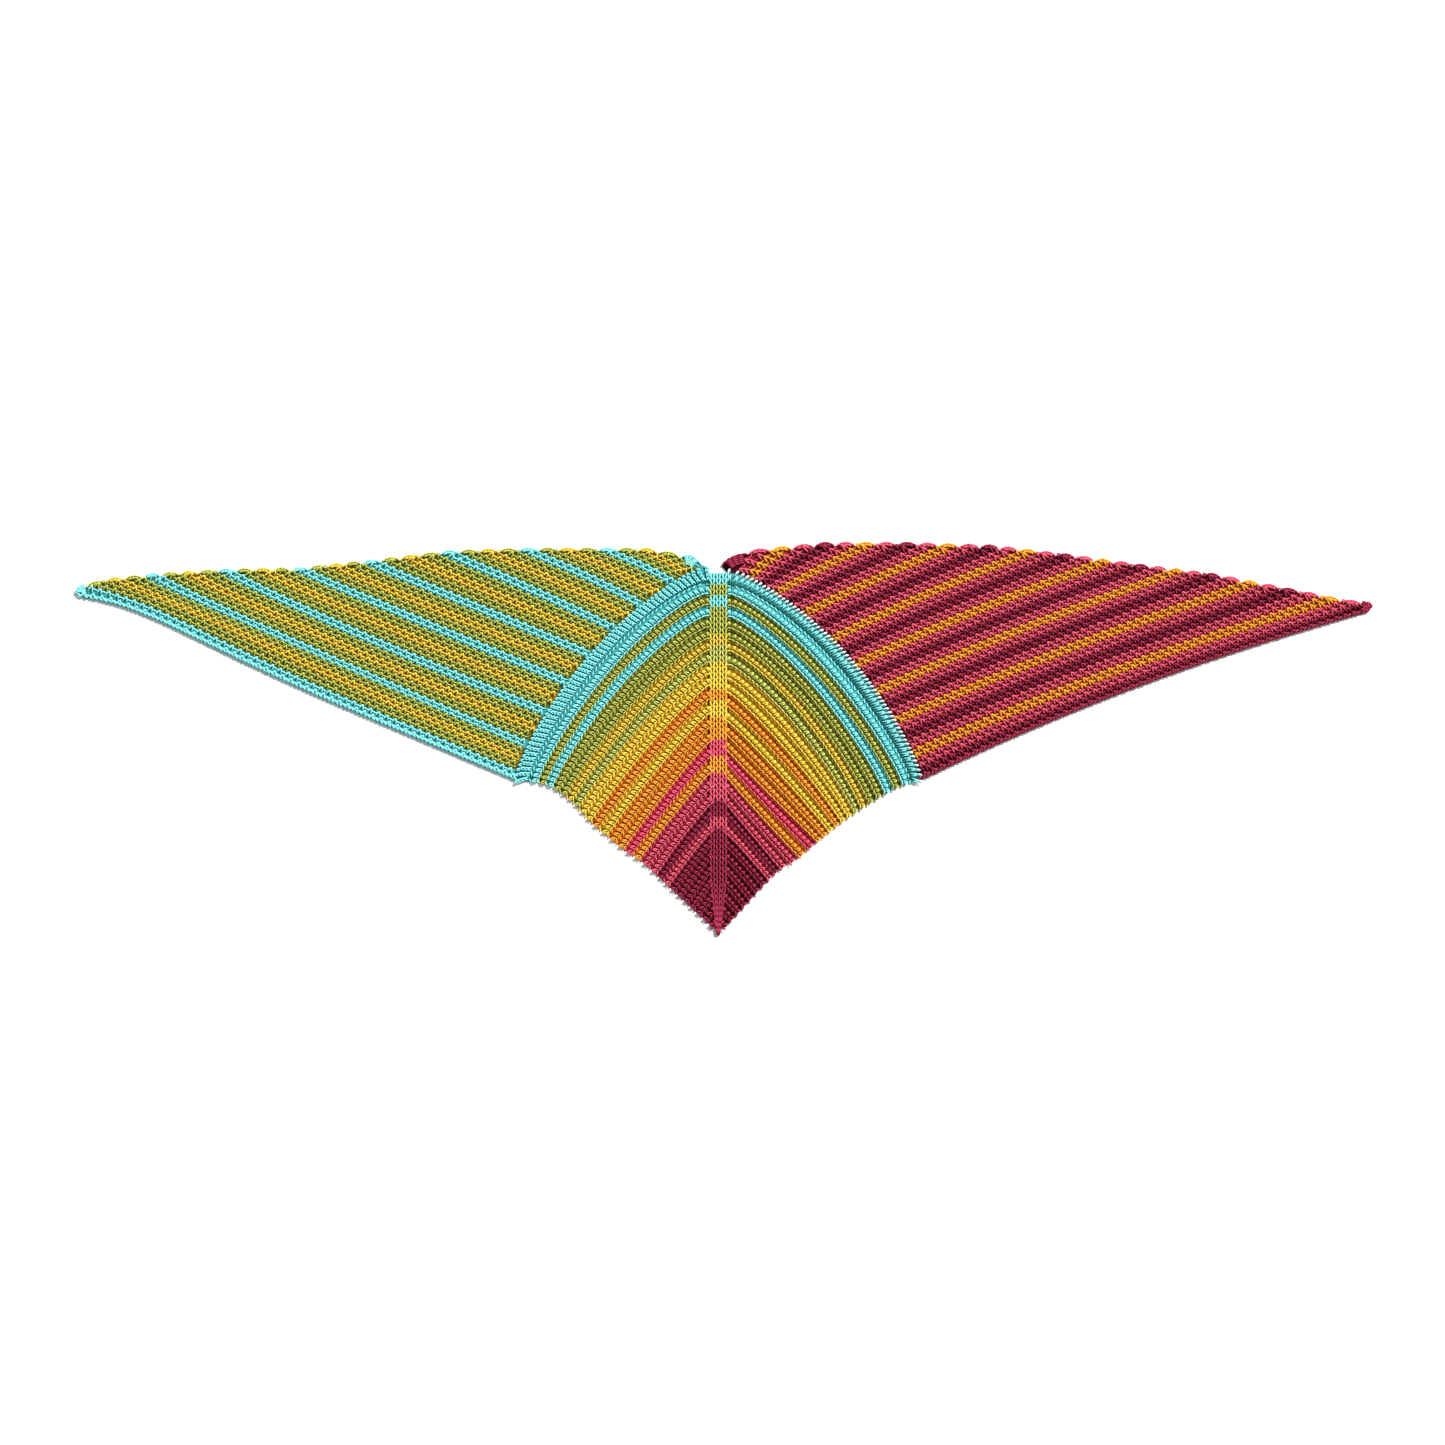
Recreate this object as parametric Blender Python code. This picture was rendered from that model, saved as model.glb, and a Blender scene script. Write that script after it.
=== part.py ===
"""A long, shallow triangular shawl in worsted yarn, laid out flat.

A kite-shaped centre hangs from a spine of three stitch columns and is built of chevron ridges.
Two striped wings are joined to the kite's upper sides, and each of their stripes ends in a scallop on
the neck edge.  Metres, +Z up.  The origin is the middle of the shawl's footprint, on the surface that
it lies on; the neck edge is towards +Y.
Run it with: blender --background --python part.py
"""

from collections import namedtuple

import bpy
import numpy as np

# Thickness of the fabric, in metres
VALLEY = 0.0026  # between two rows of stitches, and at every edge
WING_ROW_TOP = 0.0038
RIDGE_TOP = 0.0048
SPINE_TOP = 0.0050
JOIN_TOP = 0.0044
SEAM_GAP = 0.0003

# The spine, three columns of stitches that narrow to the point
SPINE_X = -0.0080
SPINE_HALF_WIDTH = 0.0127
SPINE_TOP_Y = 0.2324
SPINE_POINT_Y = -0.2770
SPINE_POINT_HALF_WIDTH = 0.0025
SPINE_TAPER = 0.13  # half width gained for each metre above the point
SPINE_COLUMNS = 3

# The wings: stripes of two rows, with a scallop at the end of each
STRIPES = 33
SCALLOP = 0.0063
TIP_KNOB = 0.0140
SCALLOP_ROUNDNESS = 0.6
SCALLOP_REACH = 24  # power of the distance across, so that only the end of a stripe moves

# The kite: ridges of two rows each, counted from the join to the point
RIDGES = 26
RIDGE_END_REACH = 0.0020  # how far a crest stands out past the grooves at the lower edge
BEND_FULLNESS = 0.70  # below 1, the bend of a ridge is fuller than half a sine wave

# How finely the pieces are divided
POINTS_A_STRIPE = 4
STEPS_ACROSS_WING = 12
STEPS_ALONG_RIDGE = 16
SPINE_STEPS = 26
GROOVE_OF_RIDGE = 0.10  # a ridge's groove, and the two sides of its crest, as shares of its width
CREST_OF_RIDGE = (0.42, 0.84)

# Lines across the kite: the height where the line leaves the spine, where it meets the lower edge, and
# how far it bows out from the straight line between them.  A place below 1 brings the bow nearer to the
# spine.  Line -1 is the seam with the wing.
RidgeGuide = namedtuple("RidgeGuide", "ridge spine_y edge_x edge_y bow place")

LEFT_RIDGES = [
    RidgeGuide(-1, 0.2408, -0.2929, -0.0594, 0.0408, 0.95),
    RidgeGuide(0, 0.2186, -0.2746, -0.0609, 0.0394, 0.85),
    RidgeGuide(1, 0.2024, -0.2619, -0.0623, 0.0310, 0.85),
    RidgeGuide(3, 0.1715, -0.2408, -0.0686, 0.0253, 0.85),
    RidgeGuide(6, 0.1233, -0.2126, -0.0890, 0.0148, 0.85),
    RidgeGuide(9, 0.0736, -0.1873, -0.1179, 0.0084, 0.85),
    RidgeGuide(13, -0.0066, -0.1408, -0.1566, 0.0035, 0.85),
    RidgeGuide(15, -0.0510, -0.1183, -0.1707, 0.0021, 0.85),
    RidgeGuide(17, -0.0961, -0.0943, -0.1918, 0.0028, 0.85),
    RidgeGuide(19, -0.1355, -0.0774, -0.2080, 0.0014, 0.85),
    RidgeGuide(26, -0.2672, -0.0155, -0.2664, 0.0000, 0.85),
]
RIGHT_RIDGES = [
    RidgeGuide(-1, 0.2328, 0.2746, -0.0602, 0.0422, 0.95),
    RidgeGuide(0, 0.2151, 0.2633, -0.0623, 0.0380, 0.85),
    RidgeGuide(1, 0.2017, 0.2506, -0.0658, 0.0303, 0.85),
    RidgeGuide(3, 0.1701, 0.2253, -0.0785, 0.0260, 0.85),
    RidgeGuide(6, 0.1222, 0.1915, -0.0996, 0.0218, 0.85),
    RidgeGuide(9, 0.0638, 0.1647, -0.1179, 0.0084, 0.85),
    RidgeGuide(13, -0.0179, 0.1309, -0.1453, -0.0014, 0.85),
    RidgeGuide(15, -0.0559, 0.1056, -0.1679, -0.0014, 0.85),
    RidgeGuide(17, -0.0954, 0.0788, -0.1834, 0.0000, 0.85),
    RidgeGuide(19, -0.1369, 0.0620, -0.1995, 0.0014, 0.85),
    RidgeGuide(26, -0.2672, 0.0000, -0.2678, 0.0000, 0.85),
]

# Lines along the wings: the place on the seam where the line starts, as a share of the way from the
# spine to the lower edge, where it ends on the neck edge, and its bow.  With lean 1 the bow peaks
# half-way, and a higher lean moves it towards the tip.
WingGuide = namedtuple("WingGuide", "stripe seam end_x end_y bow lean")

LEFT_STRIPES = [
    WingGuide(-0.5, 1.000, -0.9011, 0.1975, 0.0113, 6),
    WingGuide(0.5, 0.971, -0.8983, 0.2116, 0.0113, 6),
    WingGuide(1.5, 0.945, -0.8709, 0.2193, 0.0070, 5),
    WingGuide(4, 0.882, -0.8054, 0.2271, -0.0028, 1),
    WingGuide(8, 0.751, -0.7012, 0.2334, -0.0056, 1),
    WingGuide(12, 0.628, -0.5970, 0.2355, 0.0000, 1),
    WingGuide(16, 0.503, -0.4970, 0.2461, 0.0000, 1),
    WingGuide(20, 0.379, -0.3872, 0.2595, 0.0021, 1),
    WingGuide(24, 0.255, -0.2760, 0.2630, 0.0035, 1),
    WingGuide(28, 0.123, -0.1647, 0.2630, 0.0028, 1),
    WingGuide(30, 0.068, -0.1084, 0.2626, 0.0014, 1),
    WingGuide(32, 0.015, -0.0479, 0.2524, 0.0007, 1),
    WingGuide(32.5, 0.000, -0.0310, 0.2440, 0.0000, 1),
]
RIGHT_STRIPES = [
    WingGuide(-0.5, 1.000, 0.9025, 0.1764, 0.0155, 1),
    WingGuide(0.5, 0.964, 0.8983, 0.1870, 0.0141, 1),
    WingGuide(1.5, 0.930, 0.8687, 0.1912, 0.0125, 1),
    WingGuide(4, 0.844, 0.7955, 0.2060, 0.0084, 1),
    WingGuide(8, 0.725, 0.6871, 0.2271, 0.0070, 1),
    WingGuide(12, 0.601, 0.5871, 0.2398, 0.0056, 1),
    WingGuide(16, 0.484, 0.4815, 0.2545, 0.0056, 1),
    WingGuide(20, 0.357, 0.3745, 0.2672, 0.0028, 1),
    WingGuide(24, 0.218, 0.2577, 0.2707, 0.0014, 1),
    WingGuide(28, 0.114, 0.1422, 0.2707, 0.0014, 1),
    WingGuide(31.5, 0.028, 0.0345, 0.2597, 0.0014, 1),
    WingGuide(32.5, 0.000, -0.0042, 0.2433, 0.0000, 1),
]

# Yarns, as linear colours
YARNS = {
    "turquoise": (0.075, 0.520, 0.560),
    "olive": (0.300, 0.290, 0.035),
    "sage": (0.340, 0.370, 0.090),
    "mustard": (0.680, 0.360, 0.025),
    "yellow": (0.780, 0.500, 0.040),
    "orange": (0.880, 0.300, 0.020),
    "pink": (0.640, 0.045, 0.110),
    "magenta": (0.660, 0.040, 0.150),
    "burgundy": (0.180, 0.008, 0.035),
}
YARN_ROUGHNESS = 0.85

LEFT_WING_REPEAT = ("turquoise", "olive", "mustard", "olive")
RIGHT_WING_REPEAT = ("burgundy", "pink", "orange", "pink")
RIDGE_YARNS = (
    "turquoise olive turquoise olive olive mustard sage yellow yellow orange yellow orange orange "
    "magenta orange pink pink burgundy pink burgundy burgundy burgundy burgundy burgundy burgundy burgundy"
).split()


def column(guides, name, at):
    """The named column of a guide table at the stripes or ridges given, in straight steps between rows."""
    return np.interp(at, [row[0] for row in guides], [getattr(row, name) for row in guides])


def spine_half_width(y):
    """Half the spine's width at height y: constant, then narrowing in a straight line to the point."""
    taper = SPINE_POINT_HALF_WIDTH + SPINE_TAPER * (y - SPINE_POINT_Y)
    return np.minimum(SPINE_HALF_WIDTH, taper)


def ridge_line(guides, side, ridge, along):
    """Points on a line across one half of the kite, from the spine (along 0) to the lower edge (along 1).

    The line is straight between its ends, plus its bow times sin(pi * along ** place) raised to
    BEND_FULLNESS, away from the kite's point.  side is -1 for the left half and 1 for the right.
    """
    start_y = column(guides, "spine_y", ridge)
    start_x = SPINE_X + side * (spine_half_width(start_y) + SEAM_GAP)
    run_x = column(guides, "edge_x", ridge) - start_x
    run_y = column(guides, "edge_y", ridge) - start_y
    length = np.hypot(run_x, run_y)
    place = column(guides, "place", ridge)
    bend = np.sin(np.pi * along**place).clip(0) ** BEND_FULLNESS
    bow = column(guides, "bow", ridge) * bend
    x = start_x + run_x * along - side * run_y / length * bow
    y = start_y + run_y * along + side * run_x / length * bow
    return x, y


def wing_line(guides, ridges, side, stripe, across):
    """Points on a line along a wing, from the seam (across 0) to the neck edge (across 1).

    The line is straight between its ends, plus its bow times (1 - across) * across ** lean, scaled to a
    peak of 1.  The outer end is pushed out square to the neck edge by half a sine wave for each stripe.
    """
    start_x, start_y = ridge_line(ridges, side, -1, column(guides, "seam", stripe))
    run_x = column(guides, "end_x", stripe) - start_x
    run_y = column(guides, "end_y", stripe) - start_y
    length = np.hypot(run_x, run_y)
    lean = column(guides, "lean", stripe)
    peak = (1 - lean / (1 + lean)) * (lean / (1 + lean)) ** lean
    bow = column(guides, "bow", stripe) * (1 - across) * across**lean / peak
    x = start_x + run_x * across + SEAM_GAP * run_x / length * (1 - across) - side * run_y / length * bow
    y = start_y + run_y * across + SEAM_GAP * run_y / length * (1 - across) + side * run_x / length * bow

    edge_x = column(guides, "end_x", stripe + 0.5) - column(guides, "end_x", stripe - 0.5)
    edge_y = column(guides, "end_y", stripe + 0.5) - column(guides, "end_y", stripe - 0.5)
    edge_length = np.hypot(edge_x, edge_y)
    depth = np.where(stripe < 0.5, TIP_KNOB, SCALLOP)
    push = depth * np.abs(np.sin(np.pi * (stripe + 0.5))) ** SCALLOP_ROUNDNESS * across**SCALLOP_REACH
    return x + side * edge_y / edge_length * push, y - side * edge_x / edge_length * push


def rim_of(rows, columns):
    """Numbers of the points round a grid's rim, in the grid's own turning sense."""
    numbers = np.arange(rows * columns).reshape(rows, columns)
    return np.concatenate(
        [numbers[0, :-1], numbers[:-1, -1], numbers[-1, :0:-1], numbers[:0:-1, 0]]
    )


def yarn_material(name):
    """The matte material of one yarn, made on first use."""
    material = bpy.data.materials.get(name)
    if material is None:
        material = bpy.data.materials.new(name)
        material.use_nodes = True
        shader = material.node_tree.nodes["Principled BSDF"]
        shader.inputs["Base Color"].default_value = (*YARNS[name], 1.0)
        shader.inputs["Roughness"].default_value = YARN_ROUGHNESS
        shader.inputs["Metallic"].default_value = 0.0
    return material


def fabric_piece(name, x, y, top, yarns):
    """A closed wall: a grid of points as its upper surface, its rim dropped to z = 0, and a plain underside.

    x, y and top are arrays of rows by columns, and yarns names the yarn of each strip between two rows.
    """
    cell_turn = (x[0, 1] - x[0, 0]) * (y[1, 0] - y[0, 0]) - (y[0, 1] - y[0, 0]) * (x[1, 0] - x[0, 0])
    if cell_turn < 0:
        x, y, top = x[:, ::-1], y[:, ::-1], top[:, ::-1]
    rows, columns = top.shape
    rim = rim_of(rows, columns)
    upper = np.stack([x, y, top], axis=-1).reshape(-1, 3)
    lower = upper[rim] * (1, 1, 0)

    numbers = np.arange(rows * columns).reshape(rows, columns)
    cells = np.stack(
        [numbers[:-1, :-1], numbers[:-1, 1:], numbers[1:, 1:], numbers[1:, :-1]], axis=-1
    ).reshape(-1, 4)
    below = rows * columns + np.arange(len(rim))
    sides = np.stack([np.roll(rim, -1), rim, below, np.roll(below, -1)], axis=-1)
    faces = cells.tolist() + sides.tolist() + [below[::-1].tolist()]

    mesh = bpy.data.meshes.new(name)
    mesh.from_pydata(np.concatenate([upper, lower]).tolist(), [], faces)
    slots = list(dict.fromkeys(yarns))
    for yarn in slots:
        mesh.materials.append(yarn_material(yarn))
    strip_slots = np.repeat([slots.index(yarn) for yarn in yarns], columns - 1)
    slot_of_face = np.zeros(len(faces), dtype=np.int32)
    slot_of_face[: len(cells)] = strip_slots
    mesh.polygons.foreach_set("material_index", slot_of_face)
    mesh.shade_smooth()
    mesh.set_sharp_from_angle(angle=np.radians(50))
    mesh.update()
    piece = bpy.data.objects.new(name, mesh)
    bpy.context.scene.collection.objects.link(piece)
    return piece


def lower_the_rim(top):
    """Brings the outer points of a grid of heights down to the thickness of the fabric's edge."""
    top[0, :] = VALLEY
    top[-1, :] = VALLEY
    top[:, 0] = VALLEY
    top[:, -1] = VALLEY
    return top


def build_wing(name, guides, ridges, side, repeat):
    """A wing: each stripe is two rows of stitches, and each row is a low rib."""
    stripe = np.linspace(-0.5, STRIPES - 0.5, STRIPES * POINTS_A_STRIPE + 1)[:, None]
    across = np.linspace(0, 1, STEPS_ACROSS_WING + 1)[None, :]
    x, y = wing_line(guides, ridges, side, stripe, across)
    rib = np.abs(np.sin(2 * np.pi * (stripe + 0.5)))
    top = VALLEY + (WING_ROW_TOP - VALLEY) * rib * np.ones_like(across)
    yarns = [repeat[strip // POINTS_A_STRIPE % len(repeat)] for strip in range(len(stripe) - 1)]
    return fabric_piece(name, x, y, lower_the_rim(top), yarns)


def build_centre_half(name, ridges, side):
    """Half of the kite: each ridge is a groove and a raised crest, which stands out a little at its end."""
    shares = (GROOVE_OF_RIDGE, *CREST_OF_RIDGE)
    inner = [number + share for number in range(RIDGES) for share in shares]
    ridge = np.array([0.0, *inner, float(RIDGES)])[:, None]
    crest = np.array([0.0, *([0.0, 1.0, 1.0] * RIDGES), 0.0])[:, None]
    along = np.linspace(0, 1, STEPS_ALONG_RIDGE + 1)[None, :]
    x, y = ridge_line(ridges, side, ridge, along)
    length = np.hypot(x[:, -1] - x[:, -2], y[:, -1] - y[:, -2])
    reach = RIDGE_END_REACH * crest[:, 0] * (ridge[:, 0] < RIDGES - 1) / length
    x[:, -1] += (x[:, -1] - x[:, -2]) * reach
    y[:, -1] += (y[:, -1] - y[:, -2]) * reach
    top = VALLEY + (RIDGE_TOP - VALLEY) * crest * np.ones_like(along)
    strips = [0, *[number for number in range(RIDGES) for _ in shares]]
    yarns = [RIDGE_YARNS[strip] for strip in strips]
    return fabric_piece(name, x, y, lower_the_rim(top), yarns)


def build_join(name, ridges, side):
    """The strip worked along a wing's root: a row of slanted loops and a ridge, as two ribs."""
    across = np.linspace(0, 1, 5)[:, None]
    along = np.linspace(0, 1, STEPS_ALONG_RIDGE + 1)[None, :]
    outer_x, outer_y = ridge_line(ridges, side, -1.0, along)
    inner_x, inner_y = ridge_line(ridges, side, 0.0, along)
    run_x, run_y = inner_x - outer_x, inner_y - outer_y
    share = across * (1 - SEAM_GAP / np.hypot(run_x, run_y))
    rib = np.abs(np.sin(2 * np.pi * across))
    top = VALLEY + (JOIN_TOP - VALLEY) * rib * np.ones_like(along)
    yarns = ["turquoise"] * (len(across) - 1)
    return fabric_piece(name, outer_x + run_x * share, outer_y + run_y * share, lower_the_rim(top), yarns)


def build_spine():
    """Three ribs side by side, one for each column of stitches, narrowing to the kite's point."""
    y = np.linspace(SPINE_TOP_Y, SPINE_POINT_Y, SPINE_STEPS + 1)[:, None]
    across = np.linspace(-1, 1, 2 * SPINE_COLUMNS + 1)[None, :]
    x = SPINE_X + spine_half_width(y) * across
    rib = np.abs(np.sin(SPINE_COLUMNS * np.pi * (across + 1) / 2))
    top = VALLEY + (SPINE_TOP - VALLEY) * rib * np.ones_like(y)
    share_down = np.linspace(0, 1, SPINE_STEPS)
    yarns = [RIDGE_YARNS[int(share * (RIDGES - 1))] for share in share_down]
    return fabric_piece("spine", x, y * np.ones_like(across), lower_the_rim(top), yarns)


def main():
    for item in list(bpy.data.objects):
        bpy.data.objects.remove(item, do_unlink=True)
    build_wing("wing_left", LEFT_STRIPES, LEFT_RIDGES, -1, LEFT_WING_REPEAT)
    build_wing("wing_right", RIGHT_STRIPES, RIGHT_RIDGES, 1, RIGHT_WING_REPEAT)
    build_join("join_left", LEFT_RIDGES, -1)
    build_join("join_right", RIGHT_RIDGES, 1)
    build_centre_half("centre_left", LEFT_RIDGES, -1)
    build_centre_half("centre_right", RIGHT_RIDGES, 1)
    build_spine()


main()
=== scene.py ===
"""A long, shallow triangular shawl in worsted yarn, laid out flat on a pale floor.

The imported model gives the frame.  Each panel is a thin cloth on its solid's outline, and every stitch that
shows is a loop of yarn laid over it.  Metres, +Z up, neck edge towards +Y.
"""

from collections import namedtuple

import bpy
import numpy as np
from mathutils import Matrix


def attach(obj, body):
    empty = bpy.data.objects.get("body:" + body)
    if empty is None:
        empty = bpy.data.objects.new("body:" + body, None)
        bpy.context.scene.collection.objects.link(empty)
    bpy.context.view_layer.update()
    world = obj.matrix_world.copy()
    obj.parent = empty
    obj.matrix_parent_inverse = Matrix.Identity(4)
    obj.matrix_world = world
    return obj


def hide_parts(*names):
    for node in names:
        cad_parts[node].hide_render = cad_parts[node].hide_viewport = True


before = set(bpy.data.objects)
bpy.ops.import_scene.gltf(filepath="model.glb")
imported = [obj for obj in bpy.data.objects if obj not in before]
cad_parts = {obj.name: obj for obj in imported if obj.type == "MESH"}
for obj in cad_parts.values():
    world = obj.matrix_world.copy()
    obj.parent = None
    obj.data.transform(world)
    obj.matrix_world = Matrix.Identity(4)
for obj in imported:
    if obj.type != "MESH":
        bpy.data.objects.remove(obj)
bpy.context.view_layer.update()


# Spine
# The column down the middle of the kite: three wales of V shaped stitches in worsted wool, whose colours
# change with the ridges beside them.  It is worked in one with the two halves.
SPINE_X = -0.0080
SPINE_HALF_WIDTH = 0.0127
SPINE_TOP_Y = 0.2324
SPINE_POINT_Y = -0.2770
SPINE_POINT_HALF_WIDTH = 0.0025
SPINE_TAPER = 0.13
SPINE_WALES = 3
SPINE_STITCH = 0.0078
SPINE_YARN = 0.00125
SPINE_CLOTH = 0.0020
SPINE_GRID = (60, 7)  # rows and columns of its cloth

Band = namedtuple("Band", "yarn down_to")  # a colour of the spine, and the height where it ends
SPINE_BANDS = [
    Band("turquoise", 0.2130),
    Band("olive", 0.1975),
    Band("turquoise", 0.1827),
    Band("olive", 0.1489),
    Band("mustard", 0.1264),
    Band("sage", 0.1102),
    Band("yellow", 0.0680),
    Band("orange", 0.0539),
    Band("yellow", 0.0286),
    Band("orange", -0.0052),
    Band("magenta", -0.0264),
    Band("orange", -0.0489),
    Band("pink", -0.0911),
    Band("burgundy", -0.1108),
    Band("pink", -0.1291),
    Band("burgundy", SPINE_POINT_Y),
]

YARNS = {
    "turquoise": (0.190, 0.680, 0.680),
    "pale_turquoise": (0.480, 0.860, 0.860),
    "olive": (0.340, 0.360, 0.060),
    "sage": (0.420, 0.430, 0.090),
    "mustard": (0.640, 0.440, 0.045),
    "yellow": (0.780, 0.510, 0.050),
    "orange": (0.780, 0.270, 0.025),
    "pink": (0.560, 0.065, 0.110),
    "magenta": (0.680, 0.065, 0.120),
    "burgundy": (0.220, 0.011, 0.038),
}
MAP_CELLS = 8  # the yarn's map is a sheet of 8 by 8 cells, one for each stitch drawn at random
PLY_TURNS = 4  # turns of the twist along one stitch
PLIES = 2
# How dark and rich a yarn's painted shade colour is, and how pale its painted highlight colour
PAINTED_SHADE_STRENGTH = 0.42
PAINTED_SHADE_RICHNESS = 1.7
PAINTED_HIGHLIGHT_LIFT = 1.5
YARN_END = 0.6  # girth of a strand's two end rings, as a share of its girth
BACK_STITCH = 0.0065
BETWEEN_PAINTED_SHADE_TONE = 0.1  # palest tone of the cloth between the stitches, held dark as painted shade in the gaps
BACK_TONE = 0.9

scatter = np.random.default_rng(7)


def spine_half_width(y):
    """Half the spine's width at height y: constant, then narrowing in a straight line to the point."""
    taper = SPINE_POINT_HALF_WIDTH + SPINE_TAPER * (y - SPINE_POINT_Y)
    return np.minimum(SPINE_HALF_WIDTH, taper)


def spine_yarns(y):
    """The colour of the spine at each height."""
    ends = np.array([-band.down_to for band in SPINE_BANDS[:-1]])
    return [SPINE_BANDS[number].yarn for number in np.searchsorted(ends, -y)]


class Wire:
    """A shader socket that takes arithmetic, so that shader maths reads as an expression."""

    def __init__(self, tree, socket):
        self.tree = tree
        self.socket = socket

    def node(self, kind, settings=None, output=0, **inputs):
        """Any other node, from its type, its settings and its inputs by name."""
        made = self.tree.nodes.new(kind)
        for name, value in (settings or {}).items():
            setattr(made, name, value)
        for name, value in inputs.items():
            self.feed(made.inputs[name.replace("_", " ")], value)
        return Wire(self.tree, made.outputs[output])

    def feed(self, socket, value):
        if isinstance(value, Wire):
            self.tree.links.new(value.socket, socket)
        else:
            socket.default_value = value

    def maths(self, operation, *values):
        made = self.tree.nodes.new("ShaderNodeMath")
        made.operation = operation
        for socket, value in zip(made.inputs, values):
            self.feed(socket, value)
        return Wire(self.tree, made.outputs[0])

    def blend(self, share, first, second):
        """A colour between two, by a share from 0 to 1."""
        made = self.tree.nodes.new("ShaderNodeMix")
        made.data_type = "RGBA"
        self.feed(made.inputs["Factor"], share)
        self.feed(made.inputs["A"], first)
        self.feed(made.inputs["B"], second)
        return Wire(self.tree, made.outputs["Result"])

    def parts(self):
        """The x, y and z of a vector."""
        split = self.node("ShaderNodeSeparateXYZ", Vector=self).socket.node
        return [Wire(self.tree, socket) for socket in split.outputs]

    def __add__(self, other):
        return self.maths("ADD", self, other)

    __radd__ = __add__

    def __sub__(self, other):
        return self.maths("SUBTRACT", self, other)

    def __mul__(self, other):
        return self.maths("MULTIPLY", self, other)

    __rmul__ = __mul__

    def sine(self):
        return self.maths("SINE", self)

    def fraction(self):
        return self.maths("FRACT", self)


def new_material(name, roughness, specular):
    """A material with a plain Principled shader, and a wire to build on."""
    material = bpy.data.materials.new(name)
    material.use_nodes = True
    shader = material.node_tree.nodes["Principled BSDF"]
    shader.inputs["Roughness"].default_value = roughness
    shader.inputs["Specular IOR Level"].default_value = specular
    return material, shader, Wire(material.node_tree, None)


def painted_shade_and_highlight(name):
    """The painted shade colour and the painted highlight colour of a yarn: the shade colour is darker and
    also richer, the highlight colour paler.
    """
    colour = np.array(YARNS[name])
    deep = PAINTED_SHADE_STRENGTH * colour**PAINTED_SHADE_RICHNESS
    pale = 1 - (1 - colour) ** PAINTED_HIGHLIGHT_LIFT
    return (*deep, 1.0), (*pale, 1.0)


def yarn_material(name):
    """Smooth plied wool, with painted shade between the plies and at both ends of a loop, and a painted
    highlight on its crown.
    """
    made = bpy.data.materials.get(name + "_yarn")
    if made:
        return made
    made, shader, wire = new_material(name + "_yarn", roughness=0.60, specular=0.20)
    place = wire.node("ShaderNodeUVMap", {"uv_map": "OFBake"})
    across_map, down_map, _ = place.parts()
    along = (across_map * float(MAP_CELLS)).fraction()
    around = (down_map * float(MAP_CELLS)).fraction()
    # Painted light: the twist darkens the colour between the plies as painted shade and also drives the real
    # bump, and the hump along each stitch gives painted shade at its ends and a painted highlight on its
    # crown.  The noise is random tone.
    ply = ((along * PLY_TURNS + around * PLIES) * (2 * np.pi)).sine() * 0.5 + 0.5
    crown = (along * np.pi).sine()
    uneven = wire.node("ShaderNodeTexNoise", Vector=place, Scale=14.0, Detail=3.0)
    tone = crown * 0.50 + ply * 0.25 + uneven * 0.7 - 0.15
    wire.feed(shader.inputs["Base Color"], wire.blend(tone, *painted_shade_and_highlight(name)))
    bump = wire.node("ShaderNodeBump", Strength=0.5, Distance=0.0005, Height=ply)
    wire.feed(shader.inputs["Normal"], bump)
    return made


def cloth_material(name, side, lightest):
    """The same wool between the stitches or on the back: small rounded stitches in two directions.  Its
    colour runs from the yarn's painted shade colour to its painted highlight colour by the stitches and
    random tone, up to the lightest tone given, so between the stitches it is painted shade.
    """
    made = bpy.data.materials.get(f"{name}_{side}")
    if made:
        return made
    made, shader, wire = new_material(f"{name}_{side}", roughness=0.9, specular=0.1)
    place = wire.node("ShaderNodeTexCoord", output=3)
    x, y, _ = place.parts()
    turn = 2 * np.pi / BACK_STITCH
    stitch = ((x + y) * turn).sine() * ((x - y) * turn).sine() * 0.5 + 0.5
    uneven = wire.node("ShaderNodeTexNoise", Vector=place, Scale=260.0, Detail=2.0)
    tone = (stitch * 0.6 + uneven * 0.4) * lightest
    wire.feed(shader.inputs["Base Color"], wire.blend(tone, *painted_shade_and_highlight(name)))
    bump = wire.node("ShaderNodeBump", Strength=0.6, Distance=0.001, Height=stitch)
    wire.feed(shader.inputs["Normal"], bump)
    return made


def mesh_object(name, points, faces, materials, material_numbers=None):
    """An object at the origin from points in the row frame, riding on the frame's one body."""
    mesh = bpy.data.meshes.new(name)
    mesh.from_pydata(points.tolist(), [], faces)
    for material in materials:
        mesh.materials.append(material)
    if material_numbers is not None:
        mesh.polygons.foreach_set("material_index", material_numbers)
    mesh.shade_smooth()
    mesh.update()
    made = bpy.data.objects.new(name, mesh)
    bpy.context.scene.collection.objects.link(made)
    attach(made, "root")
    return made


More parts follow.
